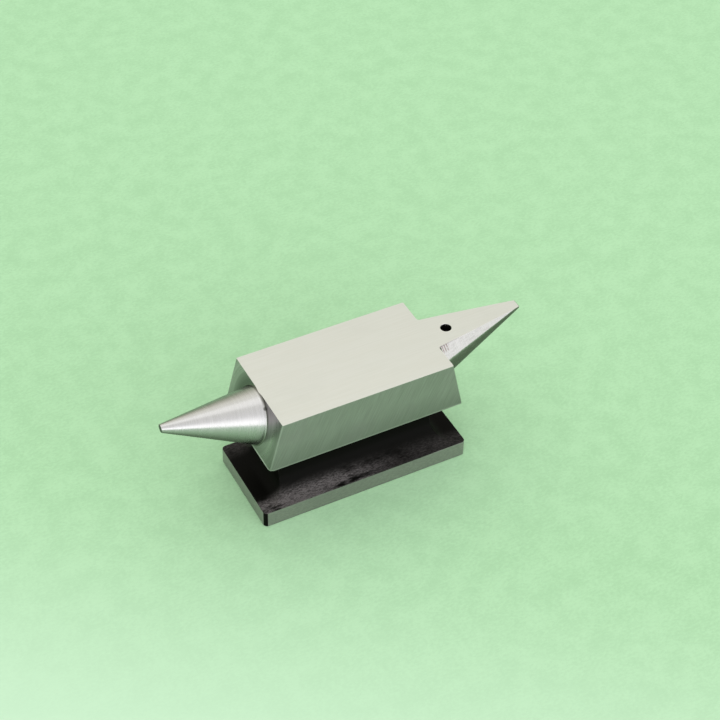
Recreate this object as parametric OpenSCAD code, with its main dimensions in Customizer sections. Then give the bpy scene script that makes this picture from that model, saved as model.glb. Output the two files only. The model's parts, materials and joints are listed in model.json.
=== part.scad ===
// Small double-horned bench anvil on a waisted foot.
// Origin: centre of the foot's underside. +X towards the flat-topped horn, +Z up. Millimetres.

/* [Overall] */
// Length from horn tip to horn tip
overall_l = 126.6; // [105:0.1:155]

/* [Face block] */
// Length of the work face
face_l = 60; // [50:0.5:72]
// Width of the block
block_w = 34; // [28:0.5:44]
// Height of the block
block_h = 18.6; // [18.4:0.1:24]
// Chamfer on the long edges and the lower edges of the block
edge_break = 0.4; // [0.35:0.05:0.8]
// Chamfer on the upright corners of the block
corner_break = 0.3; // [0.1:0.05:0.3]

/* [Foot] */
// Height of the foot, from the bench to the block
foot_h = 24.6; // [20:0.1:32]
// Thickness of the foot plate at its edge
plate_t = 6.1; // [4:0.1:7.5]
// How far the foot plate stands out past the longer end of the block
foot_step = 2.0; // [1:0.1:5]
// How far the foot plate stands in from the block along the sides
side_step = 0.2; // [0:0.05:1]
// Radius of the plate's upright corners
corner_r = 1.4; // [0.5:0.1:3]
// Flat land on top of the plate at each end
end_land = 4.0; // [2:0.1:6]
// Radius where the plate rises into the waist at the ends
end_fillet = 5.1; // [3:0.1:6]
// Radius of the hollow along the long sides
side_hollow = 8.7; // [6:0.1:9.2]
// Flat land on top of the plate along the long sides
side_land = 0.3; // [0.2:0.1:1]
// Thickness of the flange under the block
flange_t = 1.5; // [1.2:0.1:3]
// How far the flange stands in from the block's lower edges
flange_inset = 2.0; // [0.5:0.1:3]
// Least flat land under the flange's edge
flange_land = 0.4; // [0.2:0.1:1]
// Least upright stretch of the waist, between its hollow and its flange
waist_flat = 0.4; // [0.2:0.1:1]
// Break on the plate's lower edges
plate_break = 0.3; // [0:0.1:0.6]

/* [Horns] */
// Radius of the round horn where it leaves the block
round_root_r = 9.5; // [7.5:0.1:9.5]
// How far the round horn's upper side lies below the work face
round_step = 0.05; // [0.03:0.01:0.2]
// Radius of the flat horn where it leaves the block
flat_root_r = 10.2; // [8.5:0.1:10.5]
// Radius of the round horn at its tip
round_tip_r = 1.35; // [0.8:0.05:2.5]
// Radius of the flat horn at its tip
flat_tip_r = 1.6; // [0.8:0.05:2.5]
// Depth of the flat horn's axis below the work face, along the end of the block
flat_drop = 7.3; // [6.5:0.1:8]
// Radius of the fillet at the root of each horn
root_fillet = 1.2; // [0.5:0.1:1.5]
// Radius of the pritchel hole through the flat horn
pritchel_r = 1.8; // [1:0.1:2.2]
// Distance from the end of the work face to the pritchel hole's axis
pritchel_x = 6.6; // [6:0.1:9]
// Chamfer at the pritchel hole's mouth
pritchel_break = 0.2; // [0:0.05:0.3]
// Radius of the tang that seats in the block
tang_r = 4.5; // [4:0.1:5]
// Length of the tang
tang_l = 11; // [8:0.5:12]

/* [Fasteners] */
// Thread radius of the screws that hold the foot
screw_r = 3.0; // [2.5:0.1:3]
// Reach of a foot screw into the block
screw_grip = 9; // [7:0.5:11]
// Chamfer at the end of a foot screw's thread
screw_point = 0.75; // [0.3:0.05:1]
// Radius of a foot screw's head
head_r = 5.0; // [4.5:0.1:5.2]
// Height of a foot screw's head
head_h = 6.0; // [5:0.1:6]
// Key size of the foot screws, across flats
key_af = 5.0; // [4:0.5:5]
// Depth of the key socket in a foot screw
key_depth = 3.0; // [2:0.1:3.5]
// How far the heads lie above the underside
head_recess = 0.6; // [0.4:0.1:1.5]
// Thickness of the spring washers
washer_t = 1.6; // [1:0.1:2]
// Width of the gap in a spring washer
washer_gap = 1.0; // [0.5:0.1:1.5]
// Radius of the locating dowels
dowel_r = 2.0; // [1.5:0.1:2]
// Reach of a dowel into the block
dowel_up = 4.0; // [3:0.1:4.2]
// Reach of a dowel into the foot
dowel_down = 7.0; // [5:0.1:9]
// Thread radius of the set screws that lock the tangs
set_r = 2.0; // [1.5:0.1:2.5]
// Distance from the root of a horn's axis in to its set screw
set_in = 6; // [5:0.1:7]
// Bite of a set screw into its tang
set_bite = 0.6; // [0.3:0.1:0.8]
// How far the set screws lie above the block's underside
set_recess = 0.3; // [0.2:0.1:0.6]
// Key size of the set screws, across flats
set_key_af = 2.0; // [1.5:0.1:2]
// Depth of the key socket in a set screw
set_key_depth = 1.5; // [1:0.1:2]

/* [Fits] */
// Radial gap round each thread
thread_gap = 0.1; // [0.05:0.01:0.2]
// Radial gap round a foot screw's shank in the foot
shank_gap = 0.3; // [0.2:0.05:0.5]
// Radial gap round a foot screw's head
head_gap = 0.5; // [0.3:0.1:1]
// Radial gap round the tangs and dowels
slip_gap = 0.03; // [0.02:0.01:0.06]
// Room left past the end of a tang, dowel or screw
end_gap = 0.5; // [0.3:0.1:1]
// Least metal between the tang bores, the dowel holes and the screw holes
web = 1.2; // [1:0.1:2]

/* [Hidden] */
$fn = 96;
// Overlap that lets one cut run cleanly past another
past = 1;
// How far a root fillet's circle stands off the faces that it joins
fillet_off = 0.03;
// Rounds a derived length to a micrometre, so that arcs and the flats beside them meet exactly
function snap(length) = round(length * 1000) / 1000;

// Heights
total_h = foot_h + block_h;
flange_z = foot_h - flange_t;

// The round horn's upper side runs level with the face, and each end of the block is square to its horn.
horn_run = (overall_l - face_l) / 2;
level_r = round_tip_r + round_step;
round_lean = (horn_run - sqrt(horn_run * horn_run - 4 * level_r * (round_root_r - round_tip_r))) / (2 * level_r);
round_tilt = asin(round_lean);
// The flat horn's axis comes up to the level of the face at its tip.
flat_tilt = asin(flat_drop / horn_run);

// Reach of the block's lower edges from the centre
round_reach = snap(face_l / 2 + block_h * tan(round_tilt));
flat_reach = snap(face_l / 2 + block_h * tan(flat_tilt));

// Foot
foot_l = 2 * (max(round_reach, flat_reach) + foot_step);
foot_w = block_w - 2 * side_step;
end_wall = foot_l / 2 - end_land - end_fillet;
side_wall = foot_w / 2 - side_land - side_hollow;
end_flange = min(round_reach, flat_reach) - flange_inset;
side_flange = block_w / 2 - flange_inset;

// Foot screws
head_top = head_recess + head_h;
seat_z = head_top + washer_t;
screw_top = foot_h + screw_grip;
pritchel_at = face_l / 2 + pritchel_x;

// Tilt of the block's end on one side: -1 for the round horn, 1 for the flat horn
function tilt_of(side) = side < 0 ? round_tilt : flat_tilt;
// Radius of the horn where it leaves the block
function root_r_of(side) = side < 0 ? round_root_r : flat_root_r;
// Radius of the horn at its tip
function tip_r_of(side) = side < 0 ? round_tip_r : flat_tip_r;
// Depth of the horn's axis below the face, along the end of the block
function drop_of(side) = side < 0 ? round_root_r + round_step : flat_drop;
// Where the horn's axis meets the end of the block
function root_x(side) = face_l / 2 + drop_of(side) * sin(tilt_of(side));
function root_z(side) = total_h - drop_of(side) * cos(tilt_of(side));
// Length of the horn along its axis
function horn_l(side) = (overall_l / 2 - root_x(side)) / cos(tilt_of(side));
// Distance from the centre to the set screw
function set_x(side) = snap(root_x(side) - set_in);
// Height of the tang's underside above its set screw
function tang_under(side) =
    root_z(side) - set_in * tan(tilt_of(side)) - tang_r / cos(tilt_of(side));
// Distance from the centre to the inner end of the tang's bore
function bore_end(side) = root_x(side) - (tang_l + end_gap) * cos(tilt_of(side));

// The dowels stand just inside the tang bores, and the foot screws just inside the dowels.
dowel_x = snap(min(bore_end(-1), bore_end(1)) - web - dowel_r - slip_gap);
screw_x = snap(dowel_x - dowel_r - slip_gap - web - screw_r - shank_gap);

// Puts its children on a horn's axis, with +Z pointing out of the block
module on_horn_axis(side) {
    translate([side * root_x(side), 0, root_z(side)])
        rotate([0, side * (90 - tilt_of(side)), 0])
            children();
}

// ---- Face block ----

module block_end_outline() {
    e = edge_break;
    polygon([
        [-face_l / 2, total_h], [face_l / 2, total_h],
        [flat_reach - e * sin(flat_tilt), foot_h + e * cos(flat_tilt)], [flat_reach - e, foot_h],
        [-round_reach + e, foot_h], [-round_reach + e * sin(round_tilt), foot_h + e * cos(round_tilt)]
    ]);
}

module block_side_outline() {
    e = edge_break;
    w = block_w / 2;
    polygon([
        [-w + e, foot_h], [w - e, foot_h], [w, foot_h + e], [w, total_h - e],
        [w - e, total_h], [-w + e, total_h], [-w, total_h - e], [-w, foot_h + e]
    ]);
}

// Bar that chamfers one upright corner of the block
module corner_cut(side, y_side) {
    translate([side * face_l / 2, y_side * block_w / 2, total_h])
        rotate([0, -side * tilt_of(side), 0])
            rotate([0, 0, atan2(y_side, side)])
                translate([past - corner_break / sqrt(2), 0, 0])
                    cube([2 * past, 4 * past, 4 * block_h], center = true);
}

module tang_bore(side) {
    on_horn_axis(side)
        translate([0, 0, -tang_l - end_gap])
            cylinder(r = tang_r + slip_gap, h = tang_l + end_gap + past);
}

module set_screw_hole(side) {
    translate([side * set_x(side), 0, foot_h - past])
        cylinder(r = set_r + thread_gap, h = tang_under(side) + tang_r - foot_h + past);
}

module face_block() {
    color("lightgrey")
        difference() {
            intersection() {
                translate([0, block_w, 0])
                    rotate([90, 0, 0])
                        linear_extrude(2 * block_w) block_end_outline();
                translate([-overall_l / 2, 0, 0])
                    rotate([90, 0, 90])
                        linear_extrude(overall_l) block_side_outline();
            }
            for (side = [-1, 1]) {
                for (y_side = [-1, 1]) corner_cut(side, y_side);
                tang_bore(side);
                set_screw_hole(side);
                translate([side * screw_x, 0, foot_h - past])
                    cylinder(r = screw_r + thread_gap, h = screw_grip + end_gap + past);
                translate([side * dowel_x, 0, foot_h - past])
                    cylinder(r = dowel_r + slip_gap, h = dowel_up + end_gap + past);
            }
        }
}

// ---- Horns ----

// Half section of a horn: the cone, its root fillet and its tang. The cone runs on past the horn's tip.
// The fillet's circle stands a hair off the faces that it joins, so that it crosses its chord cleanly.
module horn_section(side) {
    root_r = root_r_of(side);
    half_angle = atan((root_r - tip_r_of(side)) / horn_l(side));
    cone_l = horn_l(side) + past;
    fillet_x = root_r - root_fillet * tan(half_angle) + root_fillet / cos(half_angle);
    difference() {
        polygon([
            [0, 0], [fillet_x, 0], [fillet_x - root_fillet * cos(half_angle), root_fillet * (1 - sin(half_angle))],
            [root_r - cone_l * tan(half_angle), cone_l], [0, cone_l]
        ]);
        translate([fillet_x + fillet_off, root_fillet + fillet_off]) circle(r = root_fillet);
    }
    translate([0, -tang_l]) polygon([
        [0, 0], [tang_r - edge_break, 0], [tang_r, edge_break], [tang_r, tang_l], [0, tang_l]
    ]);
}

// Pocket in the tang for the point of its set screw
module set_screw_pocket(side) {
    translate([side * set_x(side), 0, tang_under(side) - tang_r + set_bite])
        cylinder(r = set_r + thread_gap, h = tang_r);
}

// A horn, ground off level with the work face and with the block's underside, and upright at its tip
module horn(side) {
    difference() {
        on_horn_axis(side) rotate_extrude() horn_section(side);
        translate([side * (overall_l + block_h) / 2, 0, total_h])
            cube([block_h, 2 * block_w, 2 * total_h], center = true);
        translate([-overall_l, -block_w, total_h]) cube([2 * overall_l, 2 * block_w, block_h]);
        translate([-overall_l, -block_w, foot_h - block_h]) cube([2 * overall_l, 2 * block_w, block_h]);
        set_screw_pocket(side);
    }
}

module round_horn() {
    color("silver") horn(-1);
}

module flat_horn() {
    color("silver")
        difference() {
            horn(1);
            translate([pritchel_at, 0, foot_h]) cylinder(r = pritchel_r, h = block_h + past);
            translate([pritchel_at, 0, total_h - pritchel_break])
                cylinder(r1 = pritchel_r, r2 = pritchel_r + pritchel_break + past, h = pritchel_break + past);
        }
}

// ---- Foot ----

// What is cut away beside the waist: a hollow that rises from the plate and turns out to the flange
module waist_cut(wall, flange, low_r) {
    high_r = min(flange - flange_land - wall, flange_z - plate_t - low_r - waist_flat);
    out = foot_l;
    translate([wall + low_r, plate_t + low_r]) circle(r = low_r);
    translate([wall + high_r, flange_z - high_r]) circle(r = high_r);
    translate([wall + low_r, plate_t]) square([out, low_r + past / 2]);
    translate([wall + high_r, plate_t + low_r]) square([out, flange_z - plate_t - low_r]);
    translate([wall, plate_t + low_r]) square([out, flange_z - high_r - plate_t - low_r]);
    translate([flange, flange_z - past / 2]) square([out, flange_t + past]);
}

// Outline of the foot seen from one side: its plate, waist and flange
module foot_outline(half, wall, flange, low_r) {
    b = plate_break;
    difference() {
        polygon([
            [-half + b, 0], [half - b, 0], [half, b], [half, foot_h], [-half, foot_h], [-half, b]
        ]);
        waist_cut(wall, flange, low_r);
        mirror([1, 0]) waist_cut(wall, flange, low_r);
    }
}

module rounded_plan() {
    square([foot_l - 2 * corner_r, foot_w], center = true);
    square([foot_l, foot_w - 2 * corner_r], center = true);
    for (x = [-1, 1], y = [-1, 1])
        translate([x * (foot_l / 2 - corner_r), y * (foot_w / 2 - corner_r)]) circle(r = corner_r);
}

module foot() {
    color("black")
        difference() {
            intersection() {
                translate([0, block_w, 0])
                    rotate([90, 0, 0])
                        linear_extrude(2 * block_w) foot_outline(foot_l / 2, end_wall, end_flange, end_fillet);
                translate([-foot_l, 0, 0])
                    rotate([90, 0, 90])
                        linear_extrude(2 * foot_l) foot_outline(foot_w / 2, side_wall, side_flange, side_hollow);
                linear_extrude(foot_h) rounded_plan();
            }
            for (side = [-1, 1]) {
                translate([side * screw_x, 0, -past]) cylinder(r = head_r + head_gap, h = seat_z + past);
                translate([side * screw_x, 0, 0]) cylinder(r = screw_r + shank_gap, h = foot_h + past);
                translate([side * dowel_x, 0, foot_h - dowel_down - end_gap])
                    cylinder(r = dowel_r + slip_gap, h = dowel_down + end_gap + past);
            }
        }
}

// ---- Fasteners ----

// Hexagonal key socket, open downwards
module key_socket(across_flats, depth) {
    translate([0, 0, -past]) cylinder(r = across_flats / 2 / cos(30), h = depth + past, $fn = 6);
}

module foot_screw(side) {
    color("dimgrey")
        translate([side * screw_x, 0, 0])
            difference() {
                rotate_extrude() polygon([
                    [0, head_recess], [head_r - edge_break, head_recess], [head_r, head_recess + edge_break],
                    [head_r, head_top], [screw_r, head_top], [screw_r, screw_top - screw_point],
                    [screw_r - screw_point, screw_top], [0, screw_top]
                ]);
                translate([0, 0, head_recess]) key_socket(key_af, key_depth);
            }
}

module foot_washer(side) {
    color("grey")
        translate([side * screw_x, 0, head_top])
            difference() {
                cylinder(r = head_r, h = washer_t);
                translate([0, 0, -past]) cylinder(r = screw_r + thread_gap, h = washer_t + 2 * past);
                translate([0, -washer_gap / 2, -past]) cube([2 * head_r, washer_gap, washer_t + 2 * past]);
            }
}

module foot_dowel(side) {
    e = edge_break;
    low = foot_h - dowel_down;
    high = foot_h + dowel_up;
    color("silver")
        translate([side * dowel_x, 0, 0])
            rotate_extrude() polygon([
                [0, low], [dowel_r - e, low], [dowel_r, low + e],
                [dowel_r, high - e], [dowel_r - e, high], [0, high]
            ]);
}

// Set screw from the block's underside up into the pocket in the tang
module set_screw(side) {
    low = foot_h + set_recess;
    high = tang_under(side) + set_bite;
    color("dimgrey")
        translate([side * set_x(side), 0, low])
            difference() {
                cylinder(r = set_r, h = high - low);
                key_socket(set_key_af, set_key_depth);
            }
}

face_block();
round_horn();
flat_horn();
foot();
set_screw(-1);  // round_horn_set_screw
set_screw(1);  // flat_horn_set_screw
foot_screw(-1);  // foot_screw_left
foot_screw(1);  // foot_screw_right
foot_washer(-1);  // foot_washer_left
foot_washer(1);  // foot_washer_right
foot_dowel(-1);  // foot_dowel_left
foot_dowel(1);  // foot_dowel_right
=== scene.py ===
import json
import math

import bmesh
import bpy
from mathutils import Matrix, Vector


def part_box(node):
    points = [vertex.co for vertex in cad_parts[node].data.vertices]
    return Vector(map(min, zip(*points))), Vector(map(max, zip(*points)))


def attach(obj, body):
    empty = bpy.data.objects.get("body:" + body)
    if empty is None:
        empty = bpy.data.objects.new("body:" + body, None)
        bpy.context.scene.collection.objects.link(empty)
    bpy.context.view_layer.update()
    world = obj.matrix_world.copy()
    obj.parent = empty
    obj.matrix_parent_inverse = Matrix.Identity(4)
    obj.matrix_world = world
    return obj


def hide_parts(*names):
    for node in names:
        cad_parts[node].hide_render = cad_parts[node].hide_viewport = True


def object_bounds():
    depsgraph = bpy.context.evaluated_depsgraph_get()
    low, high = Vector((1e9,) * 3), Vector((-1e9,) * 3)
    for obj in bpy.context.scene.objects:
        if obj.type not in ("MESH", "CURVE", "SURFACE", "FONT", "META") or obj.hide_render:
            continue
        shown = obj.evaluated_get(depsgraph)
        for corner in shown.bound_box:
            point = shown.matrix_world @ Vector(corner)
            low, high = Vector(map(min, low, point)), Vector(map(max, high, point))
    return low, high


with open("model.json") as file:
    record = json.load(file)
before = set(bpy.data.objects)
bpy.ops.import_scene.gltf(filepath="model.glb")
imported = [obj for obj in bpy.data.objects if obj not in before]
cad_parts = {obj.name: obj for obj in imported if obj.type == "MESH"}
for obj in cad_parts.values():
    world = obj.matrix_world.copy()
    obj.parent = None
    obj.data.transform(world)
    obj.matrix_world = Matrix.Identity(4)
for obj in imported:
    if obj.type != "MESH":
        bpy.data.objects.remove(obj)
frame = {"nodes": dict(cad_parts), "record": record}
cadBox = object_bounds()
print("frame loaded:", len(frame["nodes"]), "nodes")

# Meshes are built in millimetres and brought to metres by finishPiece.
perMetre = 1000
mm = 1 / perMetre
inPlace = 1e-3  # a point this near a plane lies on it
weldWithin = 1e-5  # for cuts along a plane
pastEnd = 1.0  # how far a cutting tool runs past what it cuts


def boxOf(node):
    low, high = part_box(node)
    return low * perMetre, high * perMetre


def middleOf(node):
    low, high = boxOf(node)
    return (low + high) / 2


blockLow, blockHigh = boxOf("face_block")
footLow, footHigh = boxOf("foot")
faceLevel = blockHigh.z  # the work face
seatLevel = blockLow.z  # where the block sits on the foot
holeMount = next(m for m in frame["record"]["mounts"] if m["name"] == "pritchel_hole")


# Mesh helpers

def arc(centre, radius, start, end, steps):  # points on an arc, angles in degrees
    points = []
    for step in range(steps + 1):
        angle = math.radians(start + (end - start) * step / steps)
        points.append((centre[0] + radius * math.cos(angle), centre[1] + radius * math.sin(angle)))
    return points


def loftRings(bm, rings):  # joins rings of equally many points, and caps both ends
    loops = [[bm.verts.new(point) for point in ring] for ring in rings]
    count = len(loops[0])
    for lower, upper in zip(loops, loops[1:]):
        for i in range(count):
            j = (i + 1) % count
            bm.faces.new((lower[i], lower[j], upper[j], upper[i]))
    bm.faces.new(list(reversed(loops[0])))
    bm.faces.new(loops[-1])


# Turns (radius, height) points round an axis. The offset is a share of one step.
def turnProfile(bm, profile, root, axis, steps, facet=None, offset=0.0):
    sideways = Vector((0, 1, 0))
    upwards = axis.cross(sideways)
    upwards *= 1 if upwards.z >= 0 else -1
    rings = []
    for radius, height in profile:
        centre = root + axis * height
        ring = []
        for i in range(steps):
            angle = 2 * math.pi * (i + offset) / steps
            reach = radius
            if facet and height > facet["from"]:
                reach *= facetShare(math.degrees(angle), facet)
            ring.append(centre + reach * (math.cos(angle) * upwards + math.sin(angle) * sideways))
        rings.append(ring)
    loftRings(bm, rings)


def facetShare(angle, facet):  # a facet ground along each side; angles count from the top, in degrees
    turn = min(angle, 360 - angle) - facet["middle"]
    if abs(turn) > facet["half"]:
        return 1.0
    return math.cos(math.radians(facet["half"])) / math.cos(math.radians(turn))


def planeOff(bm, point, away):  # takes off all that lies beyond a plane, and closes the mesh
    parts = bm.verts[:] + bm.edges[:] + bm.faces[:]
    cut = bmesh.ops.bisect_plane(
        bm, geom=parts, plane_co=point, plane_no=away, clear_outer=True, dist=weldWithin,
    )
    edges = [e for e in cut["geom_cut"] if isinstance(e, bmesh.types.BMEdge) and e.is_boundary]
    if edges:
        bmesh.ops.edgeloop_fill(bm, edges=edges)


def newPiece(name, bm):
    bmesh.ops.recalc_face_normals(bm, faces=bm.faces)
    if bm.calc_volume(signed=True) < 0:
        bmesh.ops.reverse_faces(bm, faces=bm.faces)
    mesh = bpy.data.meshes.new(name)
    bm.to_mesh(mesh)
    bm.free()
    piece = bpy.data.objects.new(name, mesh)
    bpy.context.scene.collection.objects.link(piece)
    return piece


def bakeModifiers(piece):
    bpy.context.view_layer.update()
    shaped = piece.evaluated_get(bpy.context.evaluated_depsgraph_get())
    mesh = bpy.data.meshes.new_from_object(shaped)
    piece.modifiers.clear()
    piece.data = mesh


drilling = {
    "steps": 96,
    "offset": 0.37,  # keeps a tool's points out of line with another's
    "mouthFrom": 0.3,  # faces that lean this far along the axis are the mouth's
    "lip": 0.15,
}


def cutHoles(piece, holes, mouthFinish):  # holes are (profile, root, axis), turned and taken away
    tools = []
    for number, (profile, root, axis) in enumerate(holes):
        bm = bmesh.new()
        turnProfile(bm, profile, root, axis, drilling["steps"], offset=drilling["offset"])
        bm.normal_update()
        for face in bm.faces:
            face.material_index = 1 if abs(face.normal.dot(axis)) > drilling["mouthFrom"] else 0
        tool = newPiece(f"holeTool{number}", bm)
        # painted shade: bore walls take the near-black bore finish
        tool.data.materials.append(materials["shadedBoreSteel"])
        tool.data.materials.append(materials[mouthFinish])
        cut = piece.modifiers.new(tool.name, "BOOLEAN")
        cut.operation = "DIFFERENCE"
        cut.solver = "EXACT"
        cut.material_mode = "TRANSFER"
        cut.object = tool
        tools.append(tool)
    bakeModifiers(piece)
    for tool in tools:
        bpy.data.objects.remove(tool)


def finishPiece(piece, node, sharpFrom):
    piece.data.transform(Matrix.Scale(mm, 4))
    piece.data.shade_smooth()
    piece.data.set_sharp_from_angle(angle=math.radians(sharpFrom))
    flats = piece.modifiers.new("flats", "WEIGHTED_NORMAL")
    flats.mode = "FACE_AREA"
    flats.weight = 100
    flats.keep_sharp = True
    bakeModifiers(piece)
    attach(piece, "root")
    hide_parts(node)
    print("built", piece.name, len(piece.data.polygons), "faces")


# Shader helpers

def addNode(tree, kind, feeds=None, **settings):
    node = tree.nodes.new(kind)
    for key, value in settings.items():
        setattr(node, key, value)
    for socket, source in (feeds or {}).items():
        if isinstance(source, bpy.types.NodeSocket):
            tree.links.new(source, node.inputs[socket])
        else:
            node.inputs[socket].default_value = source
    return node


def calc(tree, operation, first, second=0.0):
    return addNode(tree, "ShaderNodeMath", {0: first, 1: second}, operation=operation).outputs[0]


def vectorCalc(tree, operation, first, second=None, output="Vector"):
    feeds = {0: first} if second is None else {0: first, 1: second}
    return addNode(tree, "ShaderNodeVectorMath", feeds, operation=operation).outputs[output]


def split(tree, vector):
    return addNode(tree, "ShaderNodeSeparateXYZ", {0: vector}).outputs


def surfaceNormal(tree):
    return addNode(tree, "ShaderNodeNewGeometry").outputs["Normal"]


def window(tree, source, low, high, start=0.0, end=1.0):  # soft step from low to high
    feeds = {"Value": source, "From Min": low, "From Max": high, "To Min": start, "To Max": end}
    node = addNode(tree, "ShaderNodeMapRange", feeds, interpolation_type="SMOOTHSTEP")
    return node.outputs["Result"]


def windowMm(tree, source, span, start=0.0, end=1.0):  # the same over a span in millimetres
    return window(tree, source, span[0] * mm, span[1] * mm, start, end)


def mixColour(tree, factor, first, second):  # 6, 7 and output 2 are the node's colour sockets
    return addNode(tree, "ShaderNodeMix", {0: factor, 6: first, 7: second}, data_type="RGBA").outputs[2]


def noise(tree, vector, scale, detail=2.0, roughness=0.5):
    feeds = {"Vector": vector, "Scale": scale, "Detail": detail, "Roughness": roughness}
    return addNode(tree, "ShaderNodeTexNoise", feeds).outputs["Fac"]


def newGroup(name, inputs, outputs):
    group = bpy.data.node_groups.new(name, "ShaderNodeTree")
    for label, kind, value in inputs:
        socket = group.interface.new_socket(name=label, in_out="INPUT", socket_type=kind)
        if value is not None:
            socket.default_value = value
    for label, kind in outputs:
        group.interface.new_socket(name=label, in_out="OUTPUT", socket_type=kind)
    return group, group.nodes.new("NodeGroupInput"), group.nodes.new("NodeGroupOutput")


def fillGroup(tree, group, feeds):
    return addNode(tree, "ShaderNodeGroup", feeds, node_tree=group)


def newMaterial(name):
    material = bpy.data.materials.new(name)
    material.use_nodes = True
    tree = material.node_tree
    tree.nodes.clear()
    output = addNode(tree, "ShaderNodeOutputMaterial")
    shader = addNode(tree, "ShaderNodeBsdfPrincipled")
    tree.links.new(shader.outputs[0], output.inputs["Surface"])
    coords = addNode(tree, "ShaderNodeTexCoord").outputs["Object"]
    return material, tree, shader, coords


def addBump(tree, shader, height, strength, depth):
    bump = addNode(tree, "ShaderNodeBump", {"Height": height, "Strength": strength, "Distance": depth * mm})
    tree.links.new(bump.outputs[0], shader.inputs["Normal"])


def rgb(red, green, blue):
    return (red, green, blue, 1.0)


# Effects that several finishes share
floatKind = "NodeSocketFloat"
vectorKind = "NodeSocketVector"

# Noise is given as (scale, detail, roughness), or without the scale where that is an input
cutNoise = {"height": (1.0, 2.0, 0.6), "tone": (0.21, 3.0, 0.55)}
rubbing = {
    "turn": (0.985, 0.86),  # how far the surface turns across an edge
    "samples": 4,
    "noise": (3.0, 0.6),
    "span": (0.32, 0.6),
}
handling = {"noise": (5.0, 0.6), "bareFrom": 0.8, "coverShare": 0.6, "softness": 0.22}


def makeCutLines():  # marks of a grinding wheel or a turning tool; X of the vector runs across them
    tree, start, end = newGroup(
        "cutLines",
        [("Vector", vectorKind, None), ("Lines per mm", floatKind, 2.0), ("Run", floatKind, 60.0)],
        [("Height", floatKind), ("Tone", floatKind)],
    )
    parts = split(tree, start.outputs["Vector"])
    across = calc(tree, "MULTIPLY", start.outputs["Lines per mm"], float(perMetre))
    along = calc(tree, "DIVIDE", across, start.outputs["Run"])
    fine = addNode(tree, "ShaderNodeCombineXYZ", {
        0: calc(tree, "MULTIPLY", parts[0], across),
        1: calc(tree, "MULTIPLY", parts[1], along),
        2: calc(tree, "MULTIPLY", parts[2], along),
    })
    tree.links.new(noise(tree, fine.outputs[0], *cutNoise["height"]), end.inputs["Height"])
    tree.links.new(noise(tree, fine.outputs[0], *cutNoise["tone"]), end.inputs["Tone"])
    return tree


def makeTurnedFrame():  # distances along and from a horn's axis, and vectors for cutLines
    tree, start, end = newGroup(
        "turnedFrame",
        [("Vector", vectorKind, None), ("Root", vectorKind, None), ("Axis", vectorKind, None)],
        [("Along", floatKind), ("Radius", floatKind), ("Turning", vectorKind), ("Facing", vectorKind)],
    )
    fromRoot = vectorCalc(tree, "SUBTRACT", start.outputs["Vector"], start.outputs["Root"])
    along = vectorCalc(tree, "DOT_PRODUCT", fromRoot, start.outputs["Axis"], "Value")
    scaled = addNode(tree, "ShaderNodeVectorMath", {0: start.outputs["Axis"]}, operation="SCALE")
    tree.links.new(along, scaled.inputs["Scale"])
    outward = vectorCalc(tree, "SUBTRACT", fromRoot, scaled.outputs["Vector"])
    radius = vectorCalc(tree, "LENGTH", outward, None, "Value")
    parts = split(tree, outward)
    for socket, first in (("Turning", along), ("Facing", radius)):
        vector = addNode(tree, "ShaderNodeCombineXYZ", {0: first, 1: parts[1], 2: parts[2]})
        tree.links.new(vector.outputs[0], end.inputs[socket])
    tree.links.new(along, end.inputs["Along"])
    tree.links.new(radius, end.inputs["Radius"])
    return tree


def makeEdgeWear():  # where an edge is rubbed bright, broken up by noise
    tree, start, end = newGroup(
        "edgeWear",
        [("Vector", vectorKind, None), ("Width", floatKind, 0.3 * mm), ("Patches per mm", floatKind, 1.0)],
        [("Mask", floatKind)],
    )
    rounded = addNode(tree, "ShaderNodeBevel", {"Radius": start.outputs["Width"]}, samples=rubbing["samples"])
    turn = vectorCalc(tree, "DOT_PRODUCT", rounded.outputs[0], surfaceNormal(tree), "Value")
    edge = window(tree, turn, *rubbing["turn"])
    size = calc(tree, "MULTIPLY", start.outputs["Patches per mm"], float(perMetre))
    patches = window(tree, noise(tree, start.outputs["Vector"], size, *rubbing["noise"]), *rubbing["span"])
    tree.links.new(calc(tree, "MULTIPLY", edge, patches), end.inputs["Mask"])
    return tree


def makeSmudges():  # soft patches of handling, oil or dust
    tree, start, end = newGroup(
        "smudges",
        [("Vector", vectorKind, None), ("Patches per mm", floatKind, 0.2), ("Cover", floatKind, 0.5)],
        [("Mask", floatKind)],
    )
    size = calc(tree, "MULTIPLY", start.outputs["Patches per mm"], float(perMetre))
    cloud = noise(tree, start.outputs["Vector"], size, *handling["noise"])
    covered = calc(tree, "MULTIPLY", start.outputs["Cover"], handling["coverShare"])
    low = calc(tree, "SUBTRACT", handling["bareFrom"], covered)
    high = calc(tree, "ADD", low, handling["softness"])
    tree.links.new(window(tree, cloud, low, high), end.inputs["Mask"])
    return tree


cutLines = makeCutLines()
turnedFrame = makeTurnedFrame()
edgeWear = makeEdgeWear()
smudges = makeSmudges()
print("effects ready")


# Sizes and places of the horns, in millimetres and degrees
faceLength = 60.0

roundHorn = {
    "side": -1,
    "tilt": 14.319,  # up from level
    "rootRadius": 9.5,
    "tipRadius": 1.35,
    "drop": 9.55,  # from the face to the axis, down the end of the block
    "reach": 63.3,  # from the middle of the anvil to the tip
    "rootFillet": 0.6,
    "filletSteps": 12,
    "tipRound": 0.14,
    "tipSteps": 3,
    "tipBand": 0.05,  # faces this near the tip's end take its painted-dark finish
    "turnSteps": 240,
    "tangRadius": 4.5,
    "tangLength": 11.0,
    "tangBreak": 0.4,
    "sharpFrom": 24,
}

flatHorn = dict(roundHorn)
flatHorn.update({
    "side": 1,
    "tilt": 12.663,
    "rootRadius": 10.2,
    "tipRadius": 1.6,
    "drop": 7.3,
    "rootFillet": 1.0,
    "facet": {"middle": 63.0, "half": 15.0, "from": 0.6},
    "mouthLip": 0.12,
})


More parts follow.
